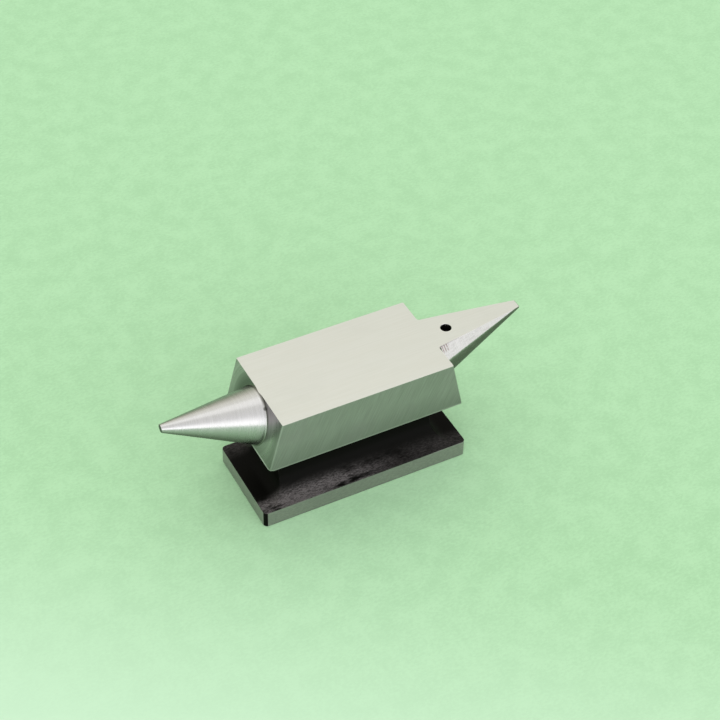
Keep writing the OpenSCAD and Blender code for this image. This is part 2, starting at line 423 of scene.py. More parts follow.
def placeHorn(horn):
    tilt = math.radians(horn["tilt"])
    rootX = faceLength / 2 + horn["drop"] * math.sin(tilt)
    horn["root"] = Vector((horn["side"] * rootX, 0, faceLevel - horn["drop"] * math.cos(tilt)))
    horn["axis"] = Vector((horn["side"] * math.cos(tilt), 0, math.sin(tilt)))
    horn["length"] = (horn["reach"] - rootX) / math.cos(tilt)


placeHorn(roundHorn)
placeHorn(flatHorn)


# Finishes
materials = {}

steel = {
    "contrast": (0.35, 0.65),
    "toneSpan": (0.25, 0.75),
    "smudgeRoughens": 0.05,
    "wearSmooths": 0.06,
    "markDepth": 0.05,
    "paintedEdgeHighlight": (seatLevel + 0.95, seatLevel + 0.55),  # a painted highlight line along the block's lower edge
    "paintedEdgeHighlightColour": rgb(0.85, 0.85, 0.83),
    "paintedEdgeHighlightDulls": 0.7,
    "paintedLowShade": (seatLevel + 11, seatLevel),  # painted shade, darker towards the foot
    "paintedLowShadeColour": rgb(0.12, 0.12, 0.115),
}
groundMarks = {"smudgesPerMm": 0.07, "cover": 0.5, "wearPerMm": 0.8}
turnedMarks = {"smudgesPerMm": 0.14, "cover": 0.45, "wearPerMm": 1.0}


def smudgesAndWear(tree, coords, edgeWidth, size):
    marks = fillGroup(tree, smudges, {
        "Vector": coords, "Patches per mm": size["smudgesPerMm"], "Cover": size["cover"],
    })
    wear = fillGroup(tree, edgeWear, {
        "Vector": coords, "Width": edgeWidth * mm, "Patches per mm": size["wearPerMm"],
    })
    return marks, wear


def finishSteel(material, tree, shader, look, colour, lines, marks, wear):  # what all bright steel shares
    tree.links.new(colour, shader.inputs["Base Color"])
    low, high = look["roughness"]
    rough = window(tree, lines.outputs["Tone"], *steel["toneSpan"], low, high)
    rough = calc(tree, "ADD", rough, calc(tree, "MULTIPLY", marks.outputs[0], steel["smudgeRoughens"]))
    rough = calc(tree, "SUBTRACT", rough, calc(tree, "MULTIPLY", wear.outputs[0], steel["wearSmooths"]))
    tree.links.new(rough, shader.inputs["Roughness"])
    addBump(tree, shader, lines.outputs["Height"], look["bump"], steel["markDepth"])
    shader.inputs["Metallic"].default_value = 1.0
    shader.inputs["Specular Tint"].default_value = look["grazing"]
    return material


def steelColour(tree, shader, look, coords, lines, marks, wear):
    fine = calc(tree, "MULTIPLY", lines.outputs["Height"], look["fineShare"])
    broad = calc(tree, "MULTIPLY", lines.outputs["Tone"], 1 - look["fineShare"])
    streaky = window(tree, calc(tree, "ADD", fine, broad), *steel["contrast"])
    colour = mixColour(tree, streaky, look["dark"], look["light"])
    colour = mixColour(tree, calc(tree, "MULTIPLY", marks.outputs[0], look["smudge"]), colour, look["dark"])
    colour = mixColour(tree, calc(tree, "MULTIPLY", wear.outputs[0], look["wear"]), colour, look["edge"])
    if look.get("lowerEdge", 0) == 0:
        return colour
    height = split(tree, coords)[2]
    # painted shade: the block darkens towards the foot
    paintedLowShade = windowMm(tree, height, steel["paintedLowShade"], 0.0, look["lowShade"])
    colour = mixColour(tree, paintedLowShade, colour, steel["paintedLowShadeColour"])
    # painted highlight: a pale, less metallic line along the lower edge
    edgeHighlight = windowMm(tree, height, steel["paintedEdgeHighlight"], 0.0, look["lowerEdge"])
    dulled = calc(tree, "MULTIPLY", edgeHighlight, steel["paintedEdgeHighlightDulls"])
    tree.links.new(calc(tree, "SUBTRACT", 1.0, dulled), shader.inputs["Metallic"])
    return mixColour(tree, edgeHighlight, colour, steel["paintedEdgeHighlightColour"])


def groundSteel(name, look):  # a flat face off the surface grinder
    material, tree, shader, coords = newMaterial(name)
    turned = addNode(tree, "ShaderNodeMapping", {"Vector": coords, "Rotation": look["rotation"]})
    lines = fillGroup(tree, cutLines, {
        "Vector": turned.outputs[0], "Lines per mm": look["linesPerMm"], "Run": look["run"],
    })
    marks, wear = smudgesAndWear(tree, coords, look["edgeWidth"], groundMarks)
    colour = steelColour(tree, shader, look, coords, lines, marks, wear)
    return finishSteel(material, tree, shader, look, colour, lines, marks, wear)


materials["groundFace"] = groundSteel("groundFace", {
    "rotation": (0, 0, math.radians(90)),  # lines run along the face
    "linesPerMm": 2.6,
    "run": 40.0,
    "light": rgb(0.645, 0.645, 0.635),
    "dark": rgb(0.62, 0.62, 0.605),
    "edge": rgb(0.67, 0.67, 0.65),
    "fineShare": 0.6,
    "edgeWidth": 0.15,
    "wear": 0.3,
    "smudge": 0.3,
    "roughness": (0.36, 0.41),
    "bump": 0.1,
    "grazing": rgb(0.45, 0.45, 0.45),
})

# painted shade: the upright sides are a darker copy of the work face's ground steel
shadedSideLook = {
    "rotation": (0, math.radians(-24), 0),  # lines lean with the wheel's path
    "linesPerMm": 3.4,
    "run": 30.0,
    "light": rgb(0.40, 0.375, 0.39),
    "dark": rgb(0.335, 0.31, 0.325),
    "edge": rgb(0.62, 0.61, 0.60),
    "fineShare": 0.75,
    "edgeWidth": 0.4,
    "wear": 0.75,
    "smudge": 0.5,
    "roughness": (0.34, 0.41),
    "bump": 0.2,
    "grazing": rgb(0.9, 0.9, 0.9),
    "lowerEdge": 0.18,
    "lowShade": 0.32,
}
materials["groundSide"] = groundSteel("groundSide", shadedSideLook)


def turnedSteel(name, look, horn):  # off the lathe: rings along a horn, or arcs across the block's end
    material, tree, shader, coords = newMaterial(name)
    place = fillGroup(tree, turnedFrame, {
        "Vector": coords, "Root": horn["root"] * mm, "Axis": horn["axis"],
    })
    lines = fillGroup(tree, cutLines, {
        "Vector": place.outputs[look["cut"]], "Lines per mm": look["linesPerMm"], "Run": look["run"],
    })
    marks, wear = smudgesAndWear(tree, coords, look["edgeWidth"], turnedMarks)
    colour = steelColour(tree, shader, look, coords, lines, marks, wear)
    # painted shade on the horn's underside and at its root
    if "paintedShade" in look:
        colour = mixColour(tree, paintedHornShade(tree, place, look["paintedShade"]), colour, look["paintedShade"]["colour"])
    if look.get("shadeTo", 0) > 0:
        # painted shade on the block's end round the horn
        shaded = endShade(tree, coords, place, horn["rootRadius"], look["shadeTo"])
        colour = mixColour(tree, shaded, colour, paintedEndShade["colour"])
    if "chatter" in look:
        chatter = look["chatter"]
        colour = mixColour(tree, chatterMask(tree, coords, place, chatter), colour, chatter["colour"])
        colour = mixColour(tree, streakMask(tree, place), colour, streaks["colour"])
    if "nick" in look:
        colour = mixColour(tree, nickMask(tree, coords, look["nick"]), colour, look["nick"]["colour"])
    return finishSteel(material, tree, shader, look, colour, lines, marks, wear)


paintedEndShade = {
    "rim": 1.2,  # out from the horn's root
    "depth": 0.9,
    "fadeOut": (-9.0, -1.0),  # weaker towards the near side
    "faded": 0.12,
    "nearSide": (-11.5, -16.0),
    "nearDepth": 0.5,
    "colour": rgb(0.16, 0.165, 0.155),
}


def endShade(tree, coords, place, rootRadius, shadeTo):  # painted shade on the block's end round the horn, and along its near edge
    rim = rootRadius + paintedEndShade["rim"]
    nearHorn = windowMm(tree, place.outputs["Radius"], (shadeTo, rim), 0.0, paintedEndShade["depth"])
    across = split(tree, coords)[1]
    fading = windowMm(tree, across, paintedEndShade["fadeOut"], paintedEndShade["faded"], 1.0)
    nearHorn = calc(tree, "MULTIPLY", nearHorn, fading)
    nearSide = windowMm(tree, across, paintedEndShade["nearSide"], 0.0, paintedEndShade["nearDepth"])
    return calc(tree, "MAXIMUM", nearHorn, nearSide)


def paintedHornShade(tree, place, paintedShade):  # painted shade darkens a horn's underside, and the groove at its root
    normal = split(tree, surfaceNormal(tree))
    under = window(tree, normal[2], *paintedShade["tilts"], 0.0, paintedShade["under"])
    root = windowMm(tree, place.outputs["Along"], paintedShade["rootSpan"], 0.0, paintedShade["root"])
    nearSide = window(tree, normal[1], *paintedShade["nearSide"])  # painted shade is spared on the upper near side, where light falls
    upperSide = window(tree, normal[2], *paintedShade["upperSide"])
    litSpared = calc(tree, "MULTIPLY", calc(tree, "MULTIPLY", nearSide, upperSide), paintedShade["litSpared"])
    root = calc(tree, "MULTIPLY", root, calc(tree, "SUBTRACT", 1.0, litSpared))
    return calc(tree, "MAXIMUM", under, root)


streaks = {
    "stretch": (0.012, 1.0, 1.0),
    "perMm": 1.9,
    "detail": 3.0,
    "span": (0.46, 0.7),
    "depth": 0.42,
    "colour": rgb(0.30, 0.28, 0.28),
}


def streakMask(tree, place):  # long faint streaks from root to tip
    stretched = vectorCalc(tree, "MULTIPLY", place.outputs["Turning"], streaks["stretch"])
    cloud = noise(tree, stretched, streaks["perMm"] * perMetre, streaks["detail"])
    return window(tree, cloud, *streaks["span"], 0.0, streaks["depth"])


def chatterMask(tree, coords, place, chatter):  # short ticks beside the flat, near the root
    height = split(tree, coords)[2]
    nearFlat = windowMm(tree, height, chatter["heights"])
    first, last = chatter["along"]
    along = place.outputs["Along"]
    opening = windowMm(tree, along, (first - chatter["startsOver"], first))
    closing = windowMm(tree, along, (last, last + chatter["endsOver"]), 1.0, 0.0)
    ticks = calc(tree, "SINE", calc(tree, "MULTIPLY", along, 2 * math.pi * perMetre / chatter["pitch"]))
    mask = calc(tree, "MULTIPLY", calc(tree, "MULTIPLY", opening, closing), nearFlat)
    mask = calc(tree, "MULTIPLY", mask, window(tree, ticks, *chatter["tick"]))
    cloud = noise(tree, coords, chatter["patchesPerMm"] * perMetre, chatter["detail"])
    patches = window(tree, cloud, *chatter["patchSpan"])
    return calc(tree, "MULTIPLY", mask, calc(tree, "MULTIPLY", patches, chatter["depth"]))


def nickMask(tree, coords, nick):  # one small dark nick
    away = vectorCalc(tree, "SUBTRACT", coords, nick["place"] * mm)
    flatter = vectorCalc(tree, "MULTIPLY", away, nick["stretch"])
    distance = vectorCalc(tree, "LENGTH", flatter, None, "Value")
    return windowMm(tree, distance, (nick["size"], nick["core"]), 0.0, nick["depth"])


hornLook = {
    "cut": "Turning",
    "linesPerMm": 3.2,
    "run": 60.0,
    "light": rgb(0.49, 0.485, 0.485),
    "dark": rgb(0.45, 0.445, 0.445),
    "edge": rgb(0.56, 0.56, 0.55),
    "fineShare": 0.5,
    "edgeWidth": 0.2,
    "wear": 0.4,
    "smudge": 0.4,
    "roughness": (0.23, 0.30),
    "bump": 0.2,
    "grazing": rgb(0.6, 0.6, 0.6),
    "paintedShade": {
        "colour": rgb(0.15, 0.145, 0.135),
        "under": 0.75,
        "tilts": (0.2, -0.5),
        "root": 0.9,
        "rootSpan": (0.9, 0.35),
        "nearSide": (-0.3, -0.6),
        "upperSide": (0.0, 0.25),
        "litSpared": 0.8,
    },
}

endLook = {key: value for key, value in hornLook.items() if key != "paintedShade"}
endLook.update({
    "cut": "Facing",
    "linesPerMm": 1.6,
    "light": rgb(0.56, 0.53, 0.55),
    "dark": rgb(0.42, 0.40, 0.41),
    "edge": rgb(0.62, 0.61, 0.60),
    "fineShare": 0.6,
    "edgeWidth": 0.4,
    "wear": 0.75,
    "roughness": (0.24, 0.34),
    "bump": 0.3,
    "grazing": rgb(0.5, 0.5, 0.5),
    "lowerEdge": 0.6,
    "lowShade": 0.5,
    "shadeTo": 15.5,  # painted shade darkens the end round the horn, out to this radius
})

# painted shade: the tip's end face is painted dark
shadedTipLook = dict(endLook)
shadedTipLook.update({
    "light": rgb(0.24, 0.23, 0.23),
    "dark": rgb(0.15, 0.145, 0.145),
    "wear": 0.2,
    "shadeTo": 0.0,
    "lowerEdge": 0.0,
})

roundHornLook = dict(hornLook)
roundHornLook["nick"] = {
    "colour": rgb(0.05, 0.05, 0.045),
    "place": roundHorn["root"] + Vector((1.6, -6.05, 7.5)),
    "size": 0.8,
    "core": 0.32,
    "stretch": (1.0, 1.0, 0.6),
    "depth": 0.8,
}

# painted shade: the flat horn is a darker copy of the round horn's turned steel
flatHornLook = dict(hornLook, light=rgb(0.425, 0.415, 0.41), dark=rgb(0.375, 0.365, 0.36))
flatHornLook["paintedShade"] = dict(hornLook["paintedShade"], under=0.9, tilts=(0.33, 0.12))
flatHornLook["chatter"] = {
    "colour": rgb(0.17, 0.11, 0.10),
    "heights": (40.6, 41.6),
    "along": (0.6, 2.8),
    "startsOver": 0.4,
    "endsOver": 1.0,
    "pitch": 0.85,
    "tick": (-0.1, 0.8),
    "patchesPerMm": 0.9,
    "detail": 1.0,
    "patchSpan": (0.3, 0.45),
    "depth": 0.85,
}

for name, look, horn in (
    ("roundHornSteel", roundHornLook, roundHorn),
    ("flatHornSteel", flatHornLook, flatHorn),
    ("roundEndSteel", endLook, roundHorn),
    ("flatEndSteel", endLook, flatHorn),
    ("shadedTipSteel", shadedTipLook, roundHorn),
):
    materials[name] = turnedSteel(name, look, horn)

# painted highlight: the edge strips are a lighter, smoother copy of the side steel
edgeHighlightLook = dict(shadedSideLook)
edgeHighlightLook.update({"light": rgb(0.42, 0.41, 0.41), "dark": rgb(0.37, 0.36, 0.36), "roughness": (0.28, 0.36)})
materials["edgeHighlightSteel"] = groundSteel("edgeHighlightSteel", edgeHighlightLook)


plain = {
    "marks": {"smudgesPerMm": 1.2, "cover": 0.6, "wearPerMm": 1.5},
    "edgeWidth": 0.2,
    "wear": 0.6,
    "edge": rgb(0.5, 0.5, 0.49),
    "grainPerMm": 4.0,
    "detail": 3.0,
    "grainSpan": (0.3, 0.7),
    "bump": 0.15,
    "bumpDepth": 0.03,
}


def plainMetal(name, light, dark, roughness):
    material, tree, shader, coords = newMaterial(name)
    marks, wear = smudgesAndWear(tree, coords, plain["edgeWidth"], plain["marks"])
    colour = mixColour(tree, marks.outputs[0], dark, light)
    colour = mixColour(tree, calc(tree, "MULTIPLY", wear.outputs[0], plain["wear"]), colour, plain["edge"])
    tree.links.new(colour, shader.inputs["Base Color"])
    grain = noise(tree, coords, plain["grainPerMm"] * perMetre, plain["detail"])
    tree.links.new(window(tree, grain, *plain["grainSpan"], *roughness), shader.inputs["Roughness"])
    addBump(tree, shader, grain, plain["bump"], plain["bumpDepth"])
    shader.inputs["Metallic"].default_value = 1.0
    return material


for name, light, dark, roughness in (
    # painted shade: bore walls are painted near black
    ("shadedBoreSteel", rgb(0.045, 0.043, 0.04), rgb(0.02, 0.02, 0.02), (0.5, 0.65)),
    ("blackOxide", rgb(0.085, 0.085, 0.09), rgb(0.05, 0.05, 0.052), (0.32, 0.45)),
    ("springSteel", rgb(0.38, 0.37, 0.36), rgb(0.26, 0.25, 0.24), (0.35, 0.5)),
    ("dowelSteel", rgb(0.62, 0.62, 0.61), rgb(0.52, 0.52, 0.51), (0.18, 0.28)),
):
    materials[name] = plainMetal(name, light, dark, roughness)


# Sizes of the foot
foot = {
    "plateThickness": 6.1,
    "cornerRadius": 1.4,
    "cornerSteps": 5,
    "endLand": 4.0,
    "endFillet": 5.1,
    "sideLand": 0.3,
    "sideHollow": 8.7,
    "lowSteps": 20,
    "highSteps": 16,
    "levelDigits": 4,
    "flangeThickness": 1.5,
    "flangeInset": 2.0,
    "flangeLand": 0.4,
    "flangeLip": 0.2,
    "lipSteps": 2,
    "waistFlat": 0.4,
    "rimRound": 0.22,
    "rimSteps": 3,
    "hipRound": 0.35,  # rounding along the mitres
    "counterbore": 5.5,
    "counterboreDepth": 8.2,
    "counterboreLip": 0.3,
    "screwHole": 3.3,
    "dowelHole": 2.03,
    "dowelDepth": 7.5,
    "sharpFrom": 32,
}


iron = {
    "upright": (0.975, 0.995),  # how squarely the bare sides face outwards
    "level": (0.6, 0.3),
    "rightEnd": (20.0, 25.0),
    "bareAbove": 0.1,
    "stretch": (0.4, 1.0, 1.0),
    "scuffsPerMm": 0.35,
    "scuffCover": 0.85,
    "scratchesPerMm": 2.6,
    "scratchNoise": (4.0, 0.7),
    "scratchSpan": (0.35, 0.7),
    "unscratched": 0.3,
    "scuffedBelow": (10.5, 6.4),
    "scuffedAbove": (5.8, 6.1),
    "frontSide": (-9.0, -14.5),
    "rearSide": (9.0, 15.0),
    "rearDepth": 0.3,
    "rightToLeft": (14.0, -14.0),
    "rightDepth": 0.25,
    "leftDepth": 1.2,
    "edgeWidth": 0.35,
    "wearPerMm": 0.7,
    "wear": 0.6,
    "black": rgb(0.0034, 0.0033, 0.0028),
    "scuffAndSheenColour": rgb(0.14, 0.128, 0.13),
    "worn": rgb(0.10, 0.10, 0.095),
    "grainStretch": (0.3, 0.3, 1.0),
    "grainPerMm": 3.5,
    "grainNoise": (4.0, 0.65),
    "grainSpan": (0.3, 0.7),
    "bareDark": rgb(0.33, 0.30, 0.315),
    "bareLight": rgb(0.42, 0.385, 0.40),
    "roughness": 0.40,
    "scuffAndSheenRoughens": 0.3,
    "specular": 0.03,
    "pitsPerMm": 1.6,
    "pitNoise": (4.0, 0.6),
    "bump": 0.12,
    "pitDepth": 0.08,
}


def bareMask(tree, place):  # the plate's upright sides, ground bare
    normal = split(tree, surfaceNormal(tree))
    sideways = [calc(tree, "ABSOLUTE", normal[axis]) for axis in (0, 1)]
    upright = window(tree, calc(tree, "MAXIMUM", sideways[0], sideways[1]), *iron["upright"])
    level = window(tree, calc(tree, "ABSOLUTE", normal[2]), *iron["level"])
    rightEnd = windowMm(tree, place[0], iron["rightEnd"])  # corners are rubbed clean at this end
    upright = calc(tree, "MAXIMUM", upright, calc(tree, "MULTIPLY", level, rightEnd))
    plateTop = foot["plateThickness"]
    return calc(tree, "MULTIPLY", upright, windowMm(tree, place[2], (plateTop + iron["bareAbove"], plateTop)))


def scuffAndSheenMask(tree, coords, place):  # grey scuffs and a painted sheen on the hollows, low down and mostly in front
    stretched = vectorCalc(tree, "MULTIPLY", coords, iron["stretch"])
    scuffs = fillGroup(tree, smudges, {
        "Vector": stretched, "Patches per mm": iron["scuffsPerMm"], "Cover": iron["scuffCover"],
    })
    scratches = noise(tree, stretched, iron["scratchesPerMm"] * perMetre, *iron["scratchNoise"])
    scratches = window(tree, scratches, *iron["scratchSpan"])
    lowDown = windowMm(tree, place[2], iron["scuffedBelow"])
    lowDown = calc(tree, "MULTIPLY", lowDown, windowMm(tree, place[2], iron["scuffedAbove"]))
    frontSide = windowMm(tree, place[1], iron["frontSide"])
    rearSide = windowMm(tree, place[1], iron["rearSide"], 0.0, iron["rearDepth"])
    outward = calc(tree, "MAXIMUM", frontSide, rearSide)
    scuffAndSheen = calc(tree, "MULTIPLY", calc(tree, "MULTIPLY", scuffs.outputs[0], lowDown), outward)
    leftwards = windowMm(tree, place[0], iron["rightToLeft"], iron["rightDepth"], iron["leftDepth"])
    scuffAndSheen = calc(tree, "MULTIPLY", scuffAndSheen, leftwards)
    return calc(tree, "MULTIPLY", scuffAndSheen, calc(tree, "ADD", iron["unscratched"], scratches))


def blackIron(name):  # blacked casting with rubbed edges
    material, tree, shader, coords = newMaterial(name)
    place = split(tree, coords)
    bare = bareMask(tree, place)
    scuffAndSheen = scuffAndSheenMask(tree, coords, place)
    wear = fillGroup(tree, edgeWear, {
        "Vector": coords, "Width": iron["edgeWidth"] * mm, "Patches per mm": iron["wearPerMm"],
    })
    # the scuff colour is partly real scuffing and partly a painted sheen on the front hollows
    black = mixColour(tree, scuffAndSheen, iron["black"], iron["scuffAndSheenColour"])
    black = mixColour(tree, calc(tree, "MULTIPLY", wear.outputs[0], iron["wear"]), black, iron["worn"])

    stretched = vectorCalc(tree, "MULTIPLY", coords, iron["grainStretch"])
    grain = noise(tree, stretched, iron["grainPerMm"] * perMetre, *iron["grainNoise"])
    grain = window(tree, grain, *iron["grainSpan"])
    groundSides = mixColour(tree, grain, iron["bareDark"], iron["bareLight"])
    tree.links.new(mixColour(tree, bare, black, groundSides), shader.inputs["Base Color"])
    tree.links.new(bare, shader.inputs["Metallic"])
    rough = calc(tree, "ADD", iron["roughness"], calc(tree, "MULTIPLY", scuffAndSheen, iron["scuffAndSheenRoughens"]))
    tree.links.new(rough, shader.inputs["Roughness"])
    shader.inputs["Specular IOR Level"].default_value = iron["specular"]
    pits = noise(tree, coords, iron["pitsPerMm"] * perMetre, *iron["pitNoise"])
    addBump(tree, shader, pits, iron["bump"], iron["pitDepth"])
    return material


materials["blackIron"] = blackIron("blackIron")
print("finishes ready:", len(materials))


# The face block
block = {
    "edgeRound": 0.4,  # lower and upright edges
    "crispRound": 0.12,  # long edges of the face
    "roundSteps": 3,
    "bluntReach": 1.6,  # how far the knocked lower corner's blunting spreads
    "blunting": 0.45,
    "tangBore": 4.53,
    "boreRoom": 0.5,
    "setScrewHole": 2.1,
    "screwHole": 3.1,
    "screwHoleDepth": 9.5,
    "dowelHole": 2.03,
    "dowelHoleDepth": 4.5,
    "faceUp": 0.7,  # a face's normal points at least this far up on the work face
    "endOut": 0.96,
    "trueFlat": 0.98,
    "edgeUp": 0.2,
    "sharpFrom": 32,
}


def upright(profile, x):  # a hole that stands upright at x
    return profile, Vector((x, 0, 0)), Vector((0, 0, 1))


def drillDown(radius, x, low, high, lip=drilling["lip"]):  # a hole whose mouth at the low end is broken
    return upright([(radius + lip + pastEnd, low - pastEnd), (radius, low + lip), (radius, high)], x)


def buildFaceBlock():
    bm = bmesh.new()
    height = faceLevel - seatLevel
    lowLeft = -faceLength / 2 - height * math.tan(math.radians(roundHorn["tilt"]))
    lowRight = faceLength / 2 + height * math.tan(math.radians(flatHorn["tilt"]))
    outline = [
        (-faceLength / 2, faceLevel), (faceLength / 2, faceLevel),
        (lowRight, seatLevel), (lowLeft, seatLevel),
    ]
    loftRings(bm, [[Vector((x, y, z)) for x, z in outline] for y in (blockLow.y, blockHigh.y)])
    corner = Vector((lowLeft, blockLow.y, seatLevel))
    steps = block["roundSteps"]
    softened = [e for e in bm.edges if min(v.co.z for v in e.verts) < faceLevel - inPlace]
    bmesh.ops.bevel(bm, geom=softened, offset=block["edgeRound"], segments=steps, profile=0.5, affect="EDGES")
    crisp = [
        e for e in bm.edges
        if min(v.co.z for v in e.verts) > faceLevel - inPlace and e.calc_length() > faceLength / 2
        and abs(e.verts[0].co.y - e.verts[1].co.y) < inPlace
    ]
    bmesh.ops.bevel(bm, geom=crisp, offset=block["crispRound"], segments=steps, profile=0.5, affect="EDGES")
    reach = block["bluntReach"]
    for point, normal in (
        (corner + Vector((reach, 0, 0)), (1, 0, 0)),
        (corner + Vector((0, reach, 0)), (0, 1, 0)),
        (corner + Vector((0, 0, reach)), (0, 0, 1)),
    ):
        parts = bm.verts[:] + bm.edges[:] + bm.faces[:]
        bmesh.ops.bisect_plane(bm, geom=parts, plane_co=point, plane_no=normal, dist=weldWithin)
    inward = Vector((1, 1, 1)).normalized()
    for vert in bm.verts:
        nearness = max(0, 1 - (vert.co - corner).length / reach)
        vert.co += inward * block["blunting"] * nearness
    names = ["groundSide", "groundFace", "roundEndSteel", "flatEndSteel", "edgeHighlightSteel"]
    bm.normal_update()
    for face in bm.faces:
        if face.normal.z > block["faceUp"]:
            finish = "groundFace"
        elif abs(face.normal.x) > block["endOut"]:
            finish = "roundEndSteel" if face.normal.x < 0 else "flatEndSteel"
        elif max(abs(part) for part in face.normal) < block["trueFlat"] and face.normal.z < block["edgeUp"]:
            finish = "edgeHighlightSteel"
        else:
            finish = "groundSide"
        face.material_index = names.index(finish)
    piece = newPiece("faceBlock", bm)
    for name in names:
        piece.data.materials.append(materials[name])

    holes = []
    for horn, setScrew in ((roundHorn, "round_horn_set_screw"), (flatHorn, "flat_horn_set_screw")):
        depth = horn["tangLength"] + block["boreRoom"]
        bore = [(block["tangBore"], -depth), (block["tangBore"], pastEnd)]
        holes.append((bore, horn["root"], horn["axis"]))
        high = horn["root"].z - horn["tangRadius"]
        holes.append(drillDown(block["setScrewHole"], middleOf(setScrew).x, seatLevel, high))
    for side in ("left", "right"):
        screwX, dowelX = middleOf("foot_screw_" + side).x, middleOf("foot_dowel_" + side).x
        holes.append(drillDown(block["screwHole"], screwX, seatLevel, seatLevel + block["screwHoleDepth"]))
        holes.append(drillDown(block["dowelHole"], dowelX, seatLevel, seatLevel + block["dowelHoleDepth"]))
    cutHoles(piece, holes, "groundSide")
    finishPiece(piece, "face_block", block["sharpFrom"])


buildFaceBlock()


# Both horns
def hornProfile(horn):  # (radius, height) from the tang's inner end to just past the tip
    fillet = horn["rootFillet"]
    taper = (horn["rootRadius"] - horn["tipRadius"]) / horn["length"]
    half = math.atan(taper)
    filletX = horn["rootRadius"] - fillet * taper + fillet / math.cos(half)
    tang, tangBreak = horn["tangRadius"], horn["tangBreak"]
    profile = [(tang - tangBreak, -horn["tangLength"]), (tang, tangBreak - horn["tangLength"]), (tang, 0)]
    profile += arc((filletX, fillet), fillet, 270, 180 + math.degrees(half), horn["filletSteps"])
    profile.append((horn["tipRadius"] - taper * pastEnd, horn["length"] + pastEnd))
    return profile


def trimTip(bm, horn):  # cuts the tip off upright and rounds its rim
    out = Vector((horn["side"], 0, 0))
    planeOff(bm, out * horn["reach"], out)
    end = next(f for f in bm.faces if all(abs(v.co.dot(out) - horn["reach"]) < inPlace for v in f.verts))
    middle = end.calc_center_median()
    rim = list(end.verts)
    starts = [vert.co.copy() for vert in rim]
    slides = []  # each rim point slides back along its own line on the horn
    for vert in rim:
        line = next(edge for edge in vert.link_edges if end not in edge.link_faces)
        back = line.other_vert(vert).co - vert.co
        slides.append(back / abs(back.dot(out)))
    bm.faces.remove(end)
    radius, steps = horn["tipRound"], horn["tipSteps"]
    loop = rim
    for step in range(steps + 1):
        angle = math.radians(90 * step / steps)
        drawnIn = radius * (1 - math.cos(angle)) / horn["tipRadius"]
        slid = radius * (1 - math.sin(angle))
        points = [
            middle + (start - middle) * (1 - drawnIn) + slide * slid
            for start, slide in zip(starts, slides)
        ]
        if step == 0:
            for vert, point in zip(rim, points):
                vert.co = point
            continue
        ring = [bm.verts.new(point) for point in points]
        for i in range(len(ring)):
            j = (i + 1) % len(ring)
            bm.faces.new((loop[i], loop[j], ring[j], ring[i]))
        loop = ring
    bm.faces.new(loop)


def buildHorn(name, node, horn, coneMaterial):
    bm = bmesh.new()
    turnProfile(bm, hornProfile(horn), horn["root"], horn["axis"], horn["turnSteps"], horn.get("facet"))
    planeOff(bm, Vector((0, 0, faceLevel)), Vector((0, 0, 1)))
    planeOff(bm, Vector((0, 0, seatLevel)), Vector((0, 0, -1)))
    trimTip(bm, horn)
    for face in bm.faces:
        middle = face.calc_center_median()
        if all(abs(v.co.z - faceLevel) < inPlace for v in face.verts):
            face.material_index = 1
        elif abs(middle.x) > horn["reach"] - horn["tipBand"]:
            face.material_index = 2
    piece = newPiece(name, bm)
    for finish in (coneMaterial, "groundFace", "shadedTipSteel"):
        piece.data.materials.append(materials[finish])
    if node == "flat_horn":
        radius = holeMount["dims"]["r_mm"]
        x = holeMount["pos_m"][0] * perMetre
        lip = horn["mouthLip"]
        profile = [(radius, 0), (radius, faceLevel - lip), (radius + lip + pastEnd, faceLevel + pastEnd)]
        cutHoles(piece, [upright(profile, x)], "groundFace")
    finishPiece(piece, node, horn["sharpFrom"])


buildHorn("roundHorn", "round_horn", roundHorn, "roundHornSteel")
buildHorn("flatHorn", "flat_horn", flatHorn, "flatHornSteel")


# The foot
def hollowReach(z, wall, lowRadius, highRadius, plateTop, flangeUnder):  # half size of the waist at a height
    lowCentre, highCentre = plateTop + lowRadius, flangeUnder - highRadius
    if z < lowCentre:
        return wall + lowRadius - math.sqrt(max(0, lowRadius ** 2 - (lowCentre - z) ** 2))
    if z > highCentre:
        return wall + highRadius - math.sqrt(max(0, highRadius ** 2 - (z - highCentre) ** 2))
    return wall


def plateRing(halfX, halfY, radius, z):  # a rectangle with rounded corners
    ring = []
    for signX, signY, start in ((1, 1, 0), (-1, 1, 90), (-1, -1, 180), (1, -1, 270)):
        centre = (signX * (halfX - radius), signY * (halfY - radius))
        ring += [Vector((x, y, z)) for x, y in arc(centre, radius, start, start + 90, foot["cornerSteps"])]
    return ring


